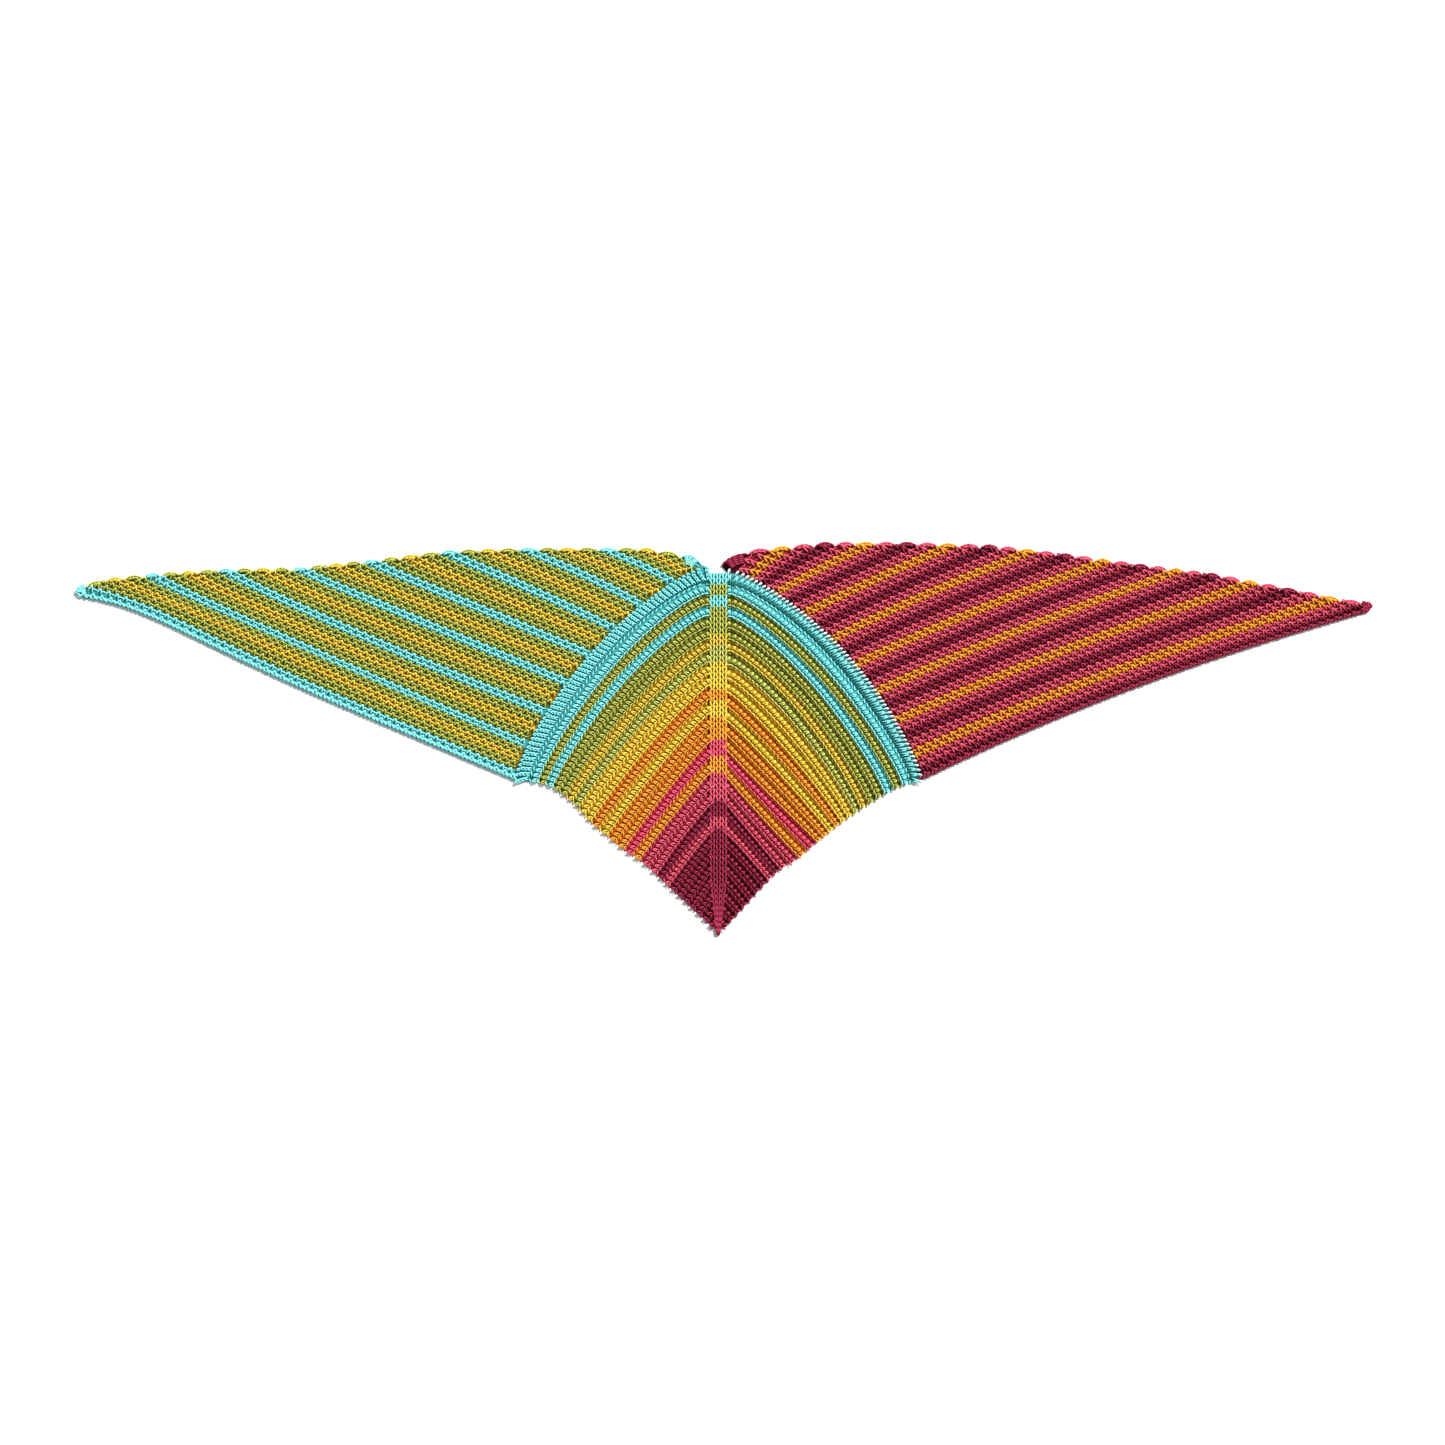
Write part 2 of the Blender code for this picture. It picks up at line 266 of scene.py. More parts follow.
def lay_yarn(name, paths, radius, yarn, sides=5):
    """Closed tubes of yarn.  paths is an array of stitches by points by (x, y, z).

    Ring k of a tube is its point plus the radius times (cos(turn) * side + sin(turn) * over), where side is
    level and square to the path, and over is square to both.  The two end rings are narrower.
    """
    stitches, rings, _ = paths.shape
    ahead = np.gradient(paths, axis=1)
    ahead /= np.linalg.norm(ahead, axis=2, keepdims=True)
    side = np.cross(ahead, (0.0, 0.0, 1.0))
    side /= np.linalg.norm(side, axis=2, keepdims=True)
    over = np.cross(side, ahead)
    turn = np.linspace(0, 2 * np.pi, sides, endpoint=False)[:, None]
    ring = np.cos(turn) * side[:, :, None, :] + np.sin(turn) * over[:, :, None, :]
    girth = np.full(rings, radius)
    girth[[0, -1]] *= YARN_END
    points = (paths[:, :, None, :] + girth[:, None, None] * ring).reshape(-1, 3)

    number = np.arange(rings * sides).reshape(rings, sides)
    beside = np.roll(number, -1, axis=1)
    wall = np.stack([number[:-1], beside[:-1], beside[1:], number[1:]], axis=-1).reshape(-1, 4)
    first = np.arange(stitches)[:, None, None] * rings * sides
    walls = (first + wall).reshape(-1, 4)
    starts = (first[:, 0] + number[0, ::-1]).reshape(-1, sides)
    ends = (first[:, 0] + number[-1]).reshape(-1, sides)
    faces = walls.tolist() + starts.tolist() + ends.tolist()
    made = mesh_object(name, points, faces, [yarn_material(yarn)])

    cell = scatter.integers(0, MAP_CELLS, (stitches, 1, 1, 2))
    step, part = np.meshgrid(np.arange(rings - 1), np.arange(sides), indexing="ij")
    along = np.stack([step, step, step + 1, step + 1], axis=-1).reshape(-1, 4) / (rings - 1)
    around = np.stack([part, part + 1, part + 1, part], axis=-1).reshape(-1, 4) / sides
    inset = 0.02 + 0.96 * np.stack([along, around], axis=-1)
    wall_map = ((cell + inset) / MAP_CELLS).reshape(-1, 2)
    cap = np.concatenate([np.cos(turn), np.sin(turn)], axis=1) * 0.01 + (0.03, 0.5)
    cap_map = ((cell[:, 0] + cap) / MAP_CELLS).reshape(-1, 2)
    corners = np.concatenate([wall_map, cap_map, cap_map]).astype(np.float32)
    made.data.uv_layers.new(name="OFBake").uv.foreach_set("vector", corners.ravel())
    return made


def lay_cloth(name, x, y, top, yarns, flat):
    """A thin closed cloth that stands for a node: a grid as its upper face, and its outline down to z = 0.

    x, y and top are arrays of rows by columns, and yarns has one colour for each strip between two rows.
    flat is the size of its cut, or None for the box round its outline; it is not used.
    """
    flat = flat or (np.ptp(x), np.ptp(y))
    turn = (x[0, 1] - x[0, 0]) * (y[1, 0] - y[0, 0]) - (y[0, 1] - y[0, 0]) * (x[1, 0] - x[0, 0])
    if turn < 0:
        x, y, top = x[:, ::-1], y[:, ::-1], top[:, ::-1]
    rows, columns = top.shape
    number = np.arange(rows * columns).reshape(rows, columns)
    upper = np.stack([x, y, top], axis=-1).reshape(-1, 3)
    lower = upper * (1, 1, 0)
    corners = [number[:-1, :-1], number[:-1, 1:], number[1:, 1:], number[1:, :-1]]
    cells = np.stack(corners, axis=-1).reshape(-1, 4)
    rim = rim_of(number)
    after = np.roll(rim, -1)
    below = rows * columns
    walls = np.stack([after, rim, rim + below, after + below], axis=-1)
    faces = cells.tolist() + (cells[:, ::-1] + below).tolist() + walls.tolist()

    used = list(dict.fromkeys(yarns))
    strip = np.repeat([used.index(yarn) for yarn in yarns], columns - 1)
    first = [used.index(yarns[0])] * (columns - 1)
    last = [used.index(yarns[-1])] * (columns - 1)
    ends = [used.index(yarn) for yarn in yarns]
    wall_numbers = np.array(first + ends + last + ends[::-1]) + len(used)
    numbers = np.concatenate([strip, strip + len(used), wall_numbers]).astype(np.int32)
    # The upper faces between the stitches are held dark with painted shade; the underside and the rim are at
    # nearly full tone.
    materials = [cloth_material(yarn, "between", BETWEEN_PAINTED_SHADE_TONE) for yarn in used]
    materials += [cloth_material(yarn, "back", BACK_TONE) for yarn in used]
    points = np.concatenate([upper, lower])
    made = mesh_object(f"{name}_cloth", points, faces, materials, numbers)
    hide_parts(name)
    return made


def rim_of(grid):
    """The outer values of an array, in order once round."""
    return np.concatenate([grid[0, :-1], grid[:-1, -1], grid[-1, :0:-1], grid[:0:-1, 0]])


def outline_area(x, y):
    """Area inside a grid's rim, by the shoelace formula."""
    rim_x, rim_y = rim_of(x), rim_of(y)
    return abs(np.sum(rim_x * np.roll(rim_y, -1) - rim_y * np.roll(rim_x, -1))) / 2


# One leg of a V: half wales from the wale's middle, stitches down the spine, and height in metres
LEG = np.array([
    (0.70, 0.78, 0.0026),
    (0.70, 0.48, 0.0044),
    (0.48, 0.00, 0.0052),
    (0.24, -0.42, 0.0044),
    (0.12, -0.72, 0.0026),
])
wale = 2 * (np.arange(SPINE_WALES) - (SPINE_WALES - 1) / 2) / SPINE_WALES
rows = np.arange(int((SPINE_TOP_Y - SPINE_POINT_Y) / SPINE_STITCH))
middle = SPINE_TOP_Y - (rows + 0.6) * SPINE_STITCH
row_y, wale_x, hand = (grid.ravel() for grid in np.meshgrid(middle, wale, (-1, 1), indexing="ij"))
y = row_y[:, None] + LEG[:, 1] * SPINE_STITCH
x = SPINE_X + (wale_x[:, None] + hand[:, None] * LEG[:, 0] / SPINE_WALES) * spine_half_width(y)
paths = np.stack([x, y, LEG[:, 2] + 0 * x], axis=-1)
colours = np.array(spine_yarns(row_y))
spine_pieces = [
    lay_yarn(f"spine_{yarn}", paths[colours == yarn], SPINE_YARN, yarn)
    for yarn in dict.fromkeys(colours.tolist())
]
y = np.linspace(SPINE_TOP_Y, SPINE_POINT_Y, SPINE_GRID[0])[:, None] + np.zeros(SPINE_GRID[1])
x = SPINE_X + spine_half_width(y) * np.linspace(-1, 1, SPINE_GRID[1])
colours = spine_yarns((y[:-1, 0] + y[1:, 0]) / 2)
lay_cloth("spine", x, y, SPINE_CLOTH + 0 * x, colours, flat=None)


# Centre halves
# The two halves of the kite, worked in chevron ridges of two rows each: on its outer side a sunken row, and
# on its inner side a raised row of slanting loops, closed by a chain of yarn.
SEAM_GAP = 0.0003
BEND_FULLNESS = 0.70
RIDGES = 26
CENTRE_STITCH = 0.0076
CENTRE_YARN = 0.00130
CHAIN_YARN = 0.00105
GROOVE_CLOTH = 0.0006
RIDGE_CLOTH = 0.0022
WOBBLE = 0.00015  # how far a point of a stitch strays, as a standard deviation
RIDGE_YARNS = (
    "turquoise olive turquoise olive olive mustard sage yellow yellow orange yellow orange orange "
    "magenta orange pink pink burgundy pink burgundy burgundy burgundy burgundy burgundy burgundy burgundy"
).split()

RidgeGuide = namedtuple("RidgeGuide", "ridge spine_y edge_x edge_y bow place")

LEFT_RIDGES = [
    RidgeGuide(-1, 0.2408, -0.2929, -0.0594, 0.0408, 0.95),
    RidgeGuide(0, 0.2186, -0.2746, -0.0609, 0.0394, 0.85),
    RidgeGuide(1, 0.2024, -0.2619, -0.0623, 0.0310, 0.85),
    RidgeGuide(3, 0.1715, -0.2408, -0.0686, 0.0253, 0.85),
    RidgeGuide(6, 0.1233, -0.2126, -0.0890, 0.0148, 0.85),
    RidgeGuide(9, 0.0736, -0.1873, -0.1179, 0.0084, 0.85),
    RidgeGuide(13, -0.0066, -0.1408, -0.1566, 0.0035, 0.85),
    RidgeGuide(15, -0.0510, -0.1183, -0.1707, 0.0021, 0.85),
    RidgeGuide(17, -0.0961, -0.0943, -0.1918, 0.0028, 0.85),
    RidgeGuide(19, -0.1355, -0.0774, -0.2080, 0.0014, 0.85),
    RidgeGuide(26, -0.2672, -0.0155, -0.2664, 0.0000, 0.85),
]
RIGHT_RIDGES = [
    RidgeGuide(-1, 0.2328, 0.2746, -0.0602, 0.0422, 0.95),
    RidgeGuide(0, 0.2151, 0.2633, -0.0623, 0.0380, 0.85),
    RidgeGuide(1, 0.2017, 0.2506, -0.0658, 0.0303, 0.85),
    RidgeGuide(3, 0.1701, 0.2253, -0.0785, 0.0260, 0.85),
    RidgeGuide(6, 0.1222, 0.1915, -0.0996, 0.0218, 0.85),
    RidgeGuide(9, 0.0638, 0.1647, -0.1179, 0.0084, 0.85),
    RidgeGuide(13, -0.0179, 0.1309, -0.1453, -0.0014, 0.85),
    RidgeGuide(15, -0.0559, 0.1056, -0.1679, -0.0014, 0.85),
    RidgeGuide(17, -0.0954, 0.0788, -0.1834, 0.0000, 0.85),
    RidgeGuide(19, -0.1369, 0.0620, -0.1995, 0.0014, 0.85),
    RidgeGuide(26, -0.2672, 0.0000, -0.2678, 0.0000, 0.85),
]


def column(guides, name, at):
    """The named column of a guide table at the stripes or ridges given, in straight steps between rows."""
    return np.interp(at, [row[0] for row in guides], [getattr(row, name) for row in guides])


def ridge_line(guides, side, ridge, along):
    """Points on a line across one half of the kite, from the spine (along 0) to the lower edge (along 1).

    The line is straight between its ends, plus its bow times sin(pi * along ** place) raised to
    BEND_FULLNESS, away from the kite's point.  side is -1 for the left half and 1 for the right.
    """
    start_y = column(guides, "spine_y", ridge)
    start_x = SPINE_X + side * (spine_half_width(start_y) + SEAM_GAP)
    run_x = column(guides, "edge_x", ridge) - start_x
    run_y = column(guides, "edge_y", ridge) - start_y
    length = np.hypot(run_x, run_y)
    place = column(guides, "place", ridge)
    bend = np.sin(np.pi * along**place).clip(0) ** BEND_FULLNESS
    bow = column(guides, "bow", ridge) * bend
    x = start_x + run_x * along - side * run_y / length * bow
    y = start_y + run_y * along + side * run_x / length * bow
    return x, y


# A point of a stitch: along in stitches and across in rows, from its middle, and height in metres
Point = namedtuple("Point", "along across height")

RAISED_LOOP = [
    Point(-0.30, 0.38, 0.0026),
    Point(-0.22, 0.18, 0.0044),
    Point(-0.12, -0.02, 0.0051),
    Point(0.02, -0.09, 0.0044),
    Point(0.14, -0.01, 0.0048),
    Point(0.20, 0.18, 0.0049),
    Point(0.26, 0.38, 0.0028),
]
CHAIN_LINK = [
    Point(-0.58, 0.47, 0.0034),
    Point(-0.20, 0.43, 0.0050),
    Point(0.20, 0.47, 0.0051),
    Point(0.58, 0.51, 0.0036),
]
SUNKEN_LOOP = [
    Point(-0.45, -0.46, 0.0006),
    Point(-0.15, -0.38, 0.0017),
    Point(0.15, -0.30, 0.0018),
    Point(0.45, -0.36, 0.0006),
]
RAISED_LEAN = 0.35  # how far a raised loop moves down its row for each metre that it reaches outwards


def even_places(line, rows, pitch, start=0.15):
    """The row, and the share of the row, of stitches laid evenly along each row, about a pitch apart.

    start is how far the first stitch and the last stand from the ends of their row, in pitches.
    """
    x, y = line(rows[:, None], np.linspace(0, 1, 41))
    lengths = np.hypot(np.diff(x), np.diff(y)).sum(axis=1)
    counts = np.maximum(1, np.round(lengths / pitch - 2 * start + 1)).astype(int)
    first = np.repeat(np.cumsum(counts) - counts, counts)
    number = np.arange(counts.sum()) - first
    return np.repeat(rows, counts), (number + start) / (np.repeat(counts, counts) - 1 + 2 * start)


def stitch_paths(line, row, share, pitch, shape, lean=0.0):
    """The paths of one shape of stitch, laid at each place given, as stitches by points by (x, y, z).

    A point is its stitch's place, plus along times the pitch on the way the row runs, plus across times the
    distance between rows square to that.  lean moves it back along the row by that share of its across.
    """
    shape = np.array(shape)
    x, y = line(row, share)
    before_x, before_y = line(row, np.clip(share - 0.005, 0, 1))
    after_x, after_y = line(row, np.clip(share + 0.005, 0, 1))
    step = np.hypot(after_x - before_x, after_y - before_y)
    way_x, way_y = (after_x - before_x) / step, (after_y - before_y) / step
    inner = np.clip(share, 0.02, 0.95)
    lower_x, lower_y = line(row - 0.5, inner)
    upper_x, upper_y = line(row + 0.5, inner)
    spacing = way_x * (upper_y - lower_y) - way_y * (upper_x - lower_x)
    out = shape[:, 1] * spacing[:, None]
    forward = shape[:, 0] * pitch - lean * np.abs(out) * np.sign(shape[:, 1])
    wobble = scatter.normal(0, WOBBLE, (3, *out.shape))
    return np.stack([
        x[:, None] + way_x[:, None] * forward - way_y[:, None] * out + wobble[0],
        y[:, None] + way_y[:, None] * forward + way_x[:, None] * out + wobble[1],
        shape[:, 2] + wobble[2],
    ], axis=-1)


def lay_centre_half(side, name, guides):
    def line(row, share):
        return ridge_line(guides, side, row, share)

    row, share = even_places(line, np.arange(RIDGES) + 0.5, CENTRE_STITCH)
    for part, shape, radius, lean, sides in (
        ("raised", RAISED_LOOP, CENTRE_YARN, RAISED_LEAN, 5),
        ("chain", CHAIN_LINK, CHAIN_YARN, 0.0, 4),
        ("sunken", SUNKEN_LOOP, CHAIN_YARN, 0.0, 4),
    ):
        paths = stitch_paths(line, row, share, CENTRE_STITCH, shape, lean)
        for yarn in dict.fromkeys(RIDGE_YARNS):
            chosen = np.array([RIDGE_YARNS[int(number)] == yarn for number in row])
            piece_name = f"{name}_{part}_{yarn}"
            lay_yarn(piece_name, paths[chosen], radius, yarn, sides)

    # The cloth rises under each raised row: four lines to a ridge, low, low, high, high
    steps = np.array([0.0, 0.38, 0.52, 0.92])
    lines = np.append((np.arange(RIDGES)[:, None] + steps).ravel(), RIDGES)
    x, y = line(lines[:, None], np.linspace(0, 1, 41))
    crest = np.append(np.tile([0.0, 0.0, 1.0, 1.0], RIDGES), 0.0)
    top = GROOVE_CLOTH + (RIDGE_CLOTH - GROOVE_CLOTH) * crest[:, None] + 0 * x
    yarns = np.repeat(RIDGE_YARNS, len(steps)).tolist()
    lay_cloth(name, x, y, top, yarns, flat=None)


lay_centre_half(-1, "centre_left", LEFT_RIDGES)
lay_centre_half(1, "centre_right", RIGHT_RIDGES)


# Joins
# Turquoise strips picked up along each wing's root.  The left one is four close rows of slanting loops, and
# the right one a row of pale loops that reach over the wing, then a raised row.
JOIN_YARN = 0.00120
JOIN_CLOTH = 0.0018
JoinRow = namedtuple("JoinRow", "part yarn pitch lean shape")

SHORT_LOOP = [
    Point(-0.30, 0.10, 0.0026),
    Point(-0.22, -0.02, 0.0042),
    Point(-0.08, -0.15, 0.0048),
    Point(0.10, -0.16, 0.0044),
    Point(0.22, -0.04, 0.0044),
    Point(0.28, 0.10, 0.0028),
]
REACHING_LOOP = [
    Point(-0.26, -0.12, 0.0026),
    Point(-0.16, -0.42, 0.0050),
    Point(-0.02, -0.70, 0.0056),
    Point(0.14, -0.78, 0.0050),
    Point(0.24, -0.66, 0.0040),
    Point(0.24, -0.46, 0.0026),
]


def moved(shape, by, stretch=1.0):
    """A stitch stretched and moved across its row."""
    return [Point(point.along, point.across * stretch + by, point.height) for point in shape]


LEFT_JOIN = [
    JoinRow("first", "turquoise", 0.0066, 0.3, moved(SHORT_LOOP, -0.42)),
    JoinRow("second", "turquoise", 0.0074, 0.3, moved(SHORT_LOOP, -0.16)),
    JoinRow("third", "turquoise", 0.0074, 0.3, moved(SHORT_LOOP, 0.10)),
    JoinRow("fourth", "turquoise", 0.0074, 0.3, moved(SHORT_LOOP, 0.36)),
]
RIGHT_JOIN = [
    JoinRow("picked", "pale_turquoise", 0.0064, 0.1, REACHING_LOOP),
    JoinRow("wide", "turquoise", 0.0076, 0.3, moved(SHORT_LOOP, 0.14, 2.7)),
]


def lay_join(side, name, guides, join_rows):
    def line(row, share):
        return ridge_line(guides, side, row, share)

    for part, yarn, pitch, lean, shape in join_rows:
        row, share = even_places(line, np.array([-0.5]), pitch)
        paths = stitch_paths(line, row, share, pitch, shape, lean)
        lay_yarn(f"{name}_{part}", paths, JOIN_YARN, yarn)
    along = np.linspace(0, 1, 41)
    near_x, near_y = line(-1.0, along)
    far_x, far_y = line(0.0, along)
    share = np.linspace(0, 1, 5)[:, None]
    x = near_x + (far_x - near_x) * share
    y = near_y + (far_y - near_y) * share
    length = np.hypot(np.diff(x), np.diff(y)).sum(axis=1).mean()
    flat = (outline_area(x, y) / length, length)
    lay_cloth(name, x, y, JOIN_CLOTH + 0 * x, ["turquoise"] * 4, flat)


lay_join(-1, "join_left", LEFT_RIDGES, LEFT_JOIN)
lay_join(1, "join_right", RIGHT_RIDGES, RIGHT_JOIN)


# Wings
# Striped wings worked from the join outwards in moss stitch, two rows to a stripe.  A stitch is an arch of
# yarn with a link to the next one, and its feet straddle a link of the row before.
STRIPES = 33
SCALLOP = 0.0063
TIP_KNOB = 0.0140
SCALLOP_ROUNDNESS = 0.6
SCALLOP_REACH = 24
WING_STITCH = 0.0126
WING_YARN = 0.00130
LINK_YARN = 0.00105
EDGE_YARN = 0.00150
EDGE_STITCH = 0.0063
EDGE_DIP = 0.0018
EDGE_ROW = -0.3  # the lower edge lies this far before the first row
WING_CLOTH = 0.0014
EDGE_PETALS = (-0.38, -0.19, 0.0, 0.19, 0.38)
EDGE_INNER = (-0.22, 0.0, 0.22)
END_STRIPE_ROWS = 4  # rows of strands that fill the rounded end of the first stripe and of the last

WingGuide = namedtuple("WingGuide", "stripe seam end_x end_y bow lean")

LEFT_STRIPES = [
    WingGuide(-0.5, 1.000, -0.9011, 0.1975, 0.0113, 6),
    WingGuide(0.5, 0.971, -0.8983, 0.2116, 0.0113, 6),
    WingGuide(1.5, 0.945, -0.8709, 0.2193, 0.0070, 5),
    WingGuide(4, 0.882, -0.8054, 0.2271, -0.0028, 1),
    WingGuide(8, 0.751, -0.7012, 0.2334, -0.0056, 1),
    WingGuide(12, 0.628, -0.5970, 0.2355, 0.0000, 1),
    WingGuide(16, 0.503, -0.4970, 0.2461, 0.0000, 1),
    WingGuide(20, 0.379, -0.3872, 0.2595, 0.0021, 1),
    WingGuide(24, 0.255, -0.2760, 0.2630, 0.0035, 1),
    WingGuide(28, 0.123, -0.1647, 0.2630, 0.0028, 1),
    WingGuide(30, 0.068, -0.1084, 0.2626, 0.0014, 1),
    WingGuide(32, 0.015, -0.0479, 0.2524, 0.0007, 1),
    WingGuide(32.5, 0.000, -0.0310, 0.2440, 0.0000, 1),
]
RIGHT_STRIPES = [
    WingGuide(-0.5, 1.000, 0.9025, 0.1764, 0.0155, 1),
    WingGuide(0.5, 0.964, 0.8983, 0.1870, 0.0141, 1),
    WingGuide(1.5, 0.930, 0.8687, 0.1912, 0.0125, 1),
    WingGuide(4, 0.844, 0.7955, 0.2060, 0.0084, 1),
    WingGuide(8, 0.725, 0.6871, 0.2271, 0.0070, 1),
    WingGuide(12, 0.601, 0.5871, 0.2398, 0.0056, 1),
    WingGuide(16, 0.484, 0.4815, 0.2545, 0.0056, 1),
    WingGuide(20, 0.357, 0.3745, 0.2672, 0.0028, 1),
    WingGuide(24, 0.218, 0.2577, 0.2707, 0.0014, 1),
    WingGuide(28, 0.114, 0.1422, 0.2707, 0.0014, 1),
    WingGuide(31.5, 0.028, 0.0345, 0.2597, 0.0014, 1),
    WingGuide(32.5, 0.000, -0.0042, 0.2433, 0.0000, 1),
]

ARCH = [
    Point(-0.23, -0.80, 0.0018),
    Point(-0.20, -0.30, 0.0036),
    Point(-0.12, 0.25, 0.0050),
    Point(0.00, 0.55, 0.0054),
    Point(0.12, 0.25, 0.0050),
    Point(0.20, -0.30, 0.0036),
    Point(0.23, -0.80, 0.0018),
]
LINK = [
    Point(-0.44, 0.24, 0.0026),
    Point(-0.16, 0.06, 0.0024),
    Point(0.16, 0.06, 0.0024),
    Point(0.44, 0.24, 0.0026),
]
EDGE_LOOP = [
    Point(-0.60, -0.10, 0.0012),
    Point(-0.25, -0.05, 0.0032),
    Point(0.10, 0.20, 0.0042),
    Point(0.45, 0.50, 0.0034),
    Point(0.60, 0.64, 0.0016),
]
ARCH_LEAN = {-1: 0.10, 1: 0.20}  # as RAISED_LEAN, for each side


def wing_line(guides, ridges, side, stripe, across):
    """Points on a line along a wing, from the seam (across 0) to the neck edge (across 1).

    The line is straight between its ends, plus its bow times (1 - across) * across ** lean, scaled to a
    peak of 1.  The outer end is pushed out square to the neck edge by half a sine wave for each stripe.
    """
    start_x, start_y = ridge_line(ridges, side, -1, column(guides, "seam", stripe))
    run_x = column(guides, "end_x", stripe) - start_x
    run_y = column(guides, "end_y", stripe) - start_y
    length = np.hypot(run_x, run_y)
    lean = column(guides, "lean", stripe)
    peak = (1 - lean / (1 + lean)) * (lean / (1 + lean)) ** lean
    bow = column(guides, "bow", stripe) * (1 - across) * across**lean / peak
    x = start_x + run_x * across + SEAM_GAP * run_x / length * (1 - across) - side * run_y / length * bow
    y = start_y + run_y * across + SEAM_GAP * run_y / length * (1 - across) + side * run_x / length * bow

    edge_x = column(guides, "end_x", stripe + 0.5) - column(guides, "end_x", stripe - 0.5)
    edge_y = column(guides, "end_y", stripe + 0.5) - column(guides, "end_y", stripe - 0.5)
    edge_length = np.hypot(edge_x, edge_y)
    depth = np.where(stripe < 0.5, TIP_KNOB, SCALLOP)
    push = depth * np.abs(np.sin(np.pi * (stripe + 0.5))) ** SCALLOP_ROUNDNESS * across**SCALLOP_REACH
    return x + side * edge_y / edge_length * push, y - side * edge_x / edge_length * push


def moss_places(line, rows, pitch, shift, margin):
    """The row, and the share of the row, of stitches a pitch apart, a margin clear of each row's ends.

    They are measured on one straight way for the whole wing, with half a pitch more on every other row, so
    that each stitch stands between two of the row before.
    """
    share = np.linspace(0, 1, 101)
    x, y = line(rows[:, None], share)
    middle = len(rows) // 2
    way_x, way_y = x[middle, -1] - x[middle, 0], y[middle, -1] - y[middle, 0]
    reach = (x * way_x + y * way_y) / np.hypot(way_x, way_y)
    found_rows, found_shares = [], []
    for number, row in enumerate(rows):
        first = (reach[number, 0] + margin) / pitch - shift - 0.5 * (number % 2)
        last = (reach[number, -1] - margin) / pitch - shift - 0.5 * (number % 2)
        marks = (np.arange(np.ceil(first), last) + shift + 0.5 * (number % 2)) * pitch
        found_rows.append(np.full(len(marks), row))
        found_shares.append(np.interp(marks, reach[number], share))
    return np.concatenate(found_rows), np.concatenate(found_shares)


def edge_strand(line, side, stripe, middle, reach, inset, height):
    """A short strand along the end of one stripe, bowed out to its scalloped edge, as points by (x, y, z).

    middle and reach are shares of the stripe, inset is how far inside the edge its middle lies, square to
    the edge, and both its ends dip inwards and down by the square of the way from the middle.
    """
    share = np.linspace(-1, 1, 5)
    x, y = line(2 * (stripe + 0.5 + middle + reach * share) - 0.5, np.ones(len(share)))
    way_x, way_y = np.gradient(x), np.gradient(y)
    step = np.hypot(way_x, way_y)
    depth = inset + EDGE_DIP * share**2
    x = x - side * way_y / step * depth
    y = y + side * way_x / step * depth
    return np.stack([x, y, height * (1 - 0.5 * share**2)], axis=-1)


def neck_edge(line, side, stripe):
    """The strands that finish one stripe: five petals round its scallop, and rows of strands inside them."""
    strands = [edge_strand(line, side, stripe, middle, 0.13, 0.0013, 0.0042) for middle in EDGE_PETALS]
    rows = END_STRIPE_ROWS if stripe in (0, STRIPES - 1) else 1
    for row in range(rows):
        for middle in EDGE_INNER:
            strands.append(edge_strand(line, side, stripe, middle, 0.14, 0.0042 + 0.0030 * row, 0.0048))
    return strands


def lay_wing(side, name, guides, ridges, repeat):
    def line(row, share):
        """Row 0 is the first of the two rows in stripe 0."""
        return wing_line(guides, ridges, side, (row + 0.5) / 2 - 0.5, share)

    rows = np.arange(2 * STRIPES)
    parts = (
        ("arches", ARCH, WING_YARN, 0.0, 0.0045, ARCH_LEAN[side], 5),
        ("links", LINK, LINK_YARN, 0.5, 0.0070, 0.0, 4),
    )
    for part, shape, radius, shift, margin, lean, sides in parts:
        row, share = moss_places(line, rows, WING_STITCH, shift, margin)
        paths = stitch_paths(line, row, share, WING_STITCH, shape, lean)
        for yarn in dict.fromkeys(repeat):
            chosen = np.array([repeat[number // 2 % len(repeat)] == yarn for number in row])
            lay_yarn(f"{name}_{part}_{yarn}", paths[chosen], radius, yarn, sides)
    for yarn in dict.fromkeys(repeat):
        strands = [
            strand
            for stripe in range(STRIPES)
            if repeat[stripe % len(repeat)] == yarn
            for strand in neck_edge(line, side, stripe)
        ]
        lay_yarn(f"{name}_scallops_{yarn}", np.array(strands), EDGE_YARN, yarn)
    row, share = even_places(line, np.array([EDGE_ROW]), EDGE_STITCH)
    paths = stitch_paths(line, row, share, EDGE_STITCH, EDGE_LOOP)
    lay_yarn(f"{name}_lower_edge", paths, EDGE_YARN, repeat[0])

    x, y = line(np.arange(2 * STRIPES + 1)[:, None] - 0.5, np.linspace(0, 1, 61))
    yarns = [repeat[number // 2 % len(repeat)] for number in rows]
    lay_cloth(name, x, y, WING_CLOTH + 0 * x, yarns, flat=None)


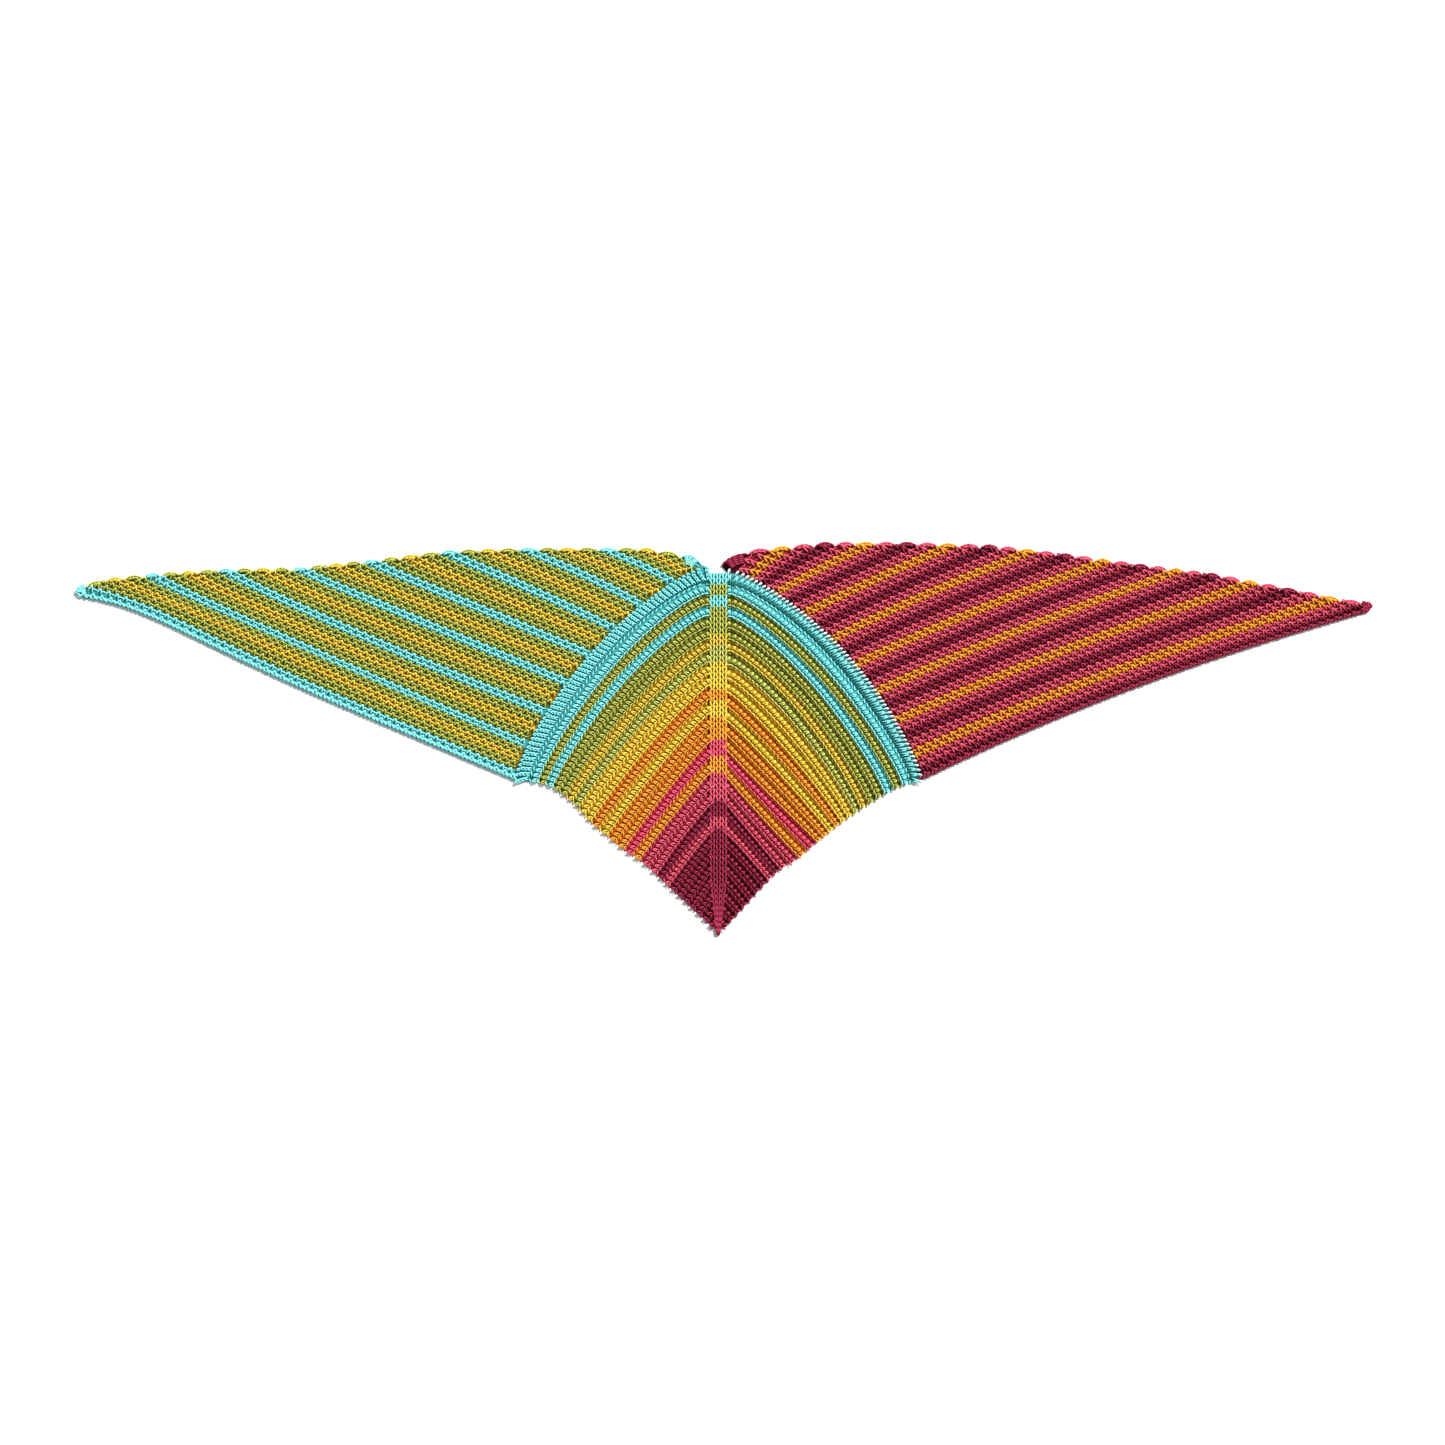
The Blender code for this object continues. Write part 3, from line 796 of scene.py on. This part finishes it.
lay_wing(-1, "wing_left", LEFT_STRIPES, LEFT_RIDGES, ("turquoise", "olive", "mustard", "olive"))
lay_wing(1, "wing_right", RIGHT_STRIPES, RIGHT_RIDGES, ("burgundy", "pink", "orange", "pink"))


# Floor, light and camera
# A plain white floor, a broad key light from the upper right, and a long lens straight overhead.
FRAME_WIDTH = 2.0346
LENS = 200.0
SENSOR = 36.0
FRAME_CENTRE = (-0.0021, 0.0222)
FLOOR_HALF_SIDE = 20.0
FLOOR_DROP = 0.0003  # clearance under the cloth, so that the two faces don't flicker
FLOOR_WHITE = 0.92
SKY_STRENGTH = 0.42
KEY_STRENGTH = 7.5
KEY_ANGLE = 22  # degrees, which softens the shadows
KEY_TILT = (-40, 38, 0)  # degrees

bpy.context.scene.view_settings.view_transform = "Standard"
mesh = bpy.data.meshes.new("floor")
corners = [(-1, -1, 0), (1, -1, 0), (1, 1, 0), (-1, 1, 0)]
mesh.from_pydata((np.array(corners) * FLOOR_HALF_SIDE).tolist(), [], [(0, 1, 2, 3)])
floor = bpy.data.objects.new("floor", mesh)
bpy.context.scene.collection.objects.link(floor)
material, shader, _ = new_material("floor_white", roughness=1.0, specular=0.0)
shader.inputs["Base Color"].default_value = (FLOOR_WHITE, FLOOR_WHITE, FLOOR_WHITE, 1.0)
mesh.materials.append(material)
floor.location.z = -FLOOR_DROP

world = bpy.data.worlds.new("studio")
bpy.context.scene.world = world
world.use_nodes = True
world.node_tree.nodes["Background"].inputs["Color"].default_value = (1.0, 1.0, 1.0, 1.0)
world.node_tree.nodes["Background"].inputs["Strength"].default_value = SKY_STRENGTH

key = bpy.data.lights.new("key", "SUN")
key.energy = KEY_STRENGTH
key.angle = np.radians(KEY_ANGLE)
key_light = bpy.data.objects.new("key", key)
key_light.rotation_euler = np.radians(KEY_TILT)
bpy.context.scene.collection.objects.link(key_light)

camera = bpy.data.objects.new("camera", bpy.data.cameras.new("camera"))
camera.data.sensor_width = SENSOR
camera.data.lens = LENS
camera.location = (*FRAME_CENTRE, FRAME_WIDTH * LENS / SENSOR)
camera.data.clip_end = 100.0
bpy.context.scene.collection.objects.link(camera)
bpy.context.scene.camera = camera
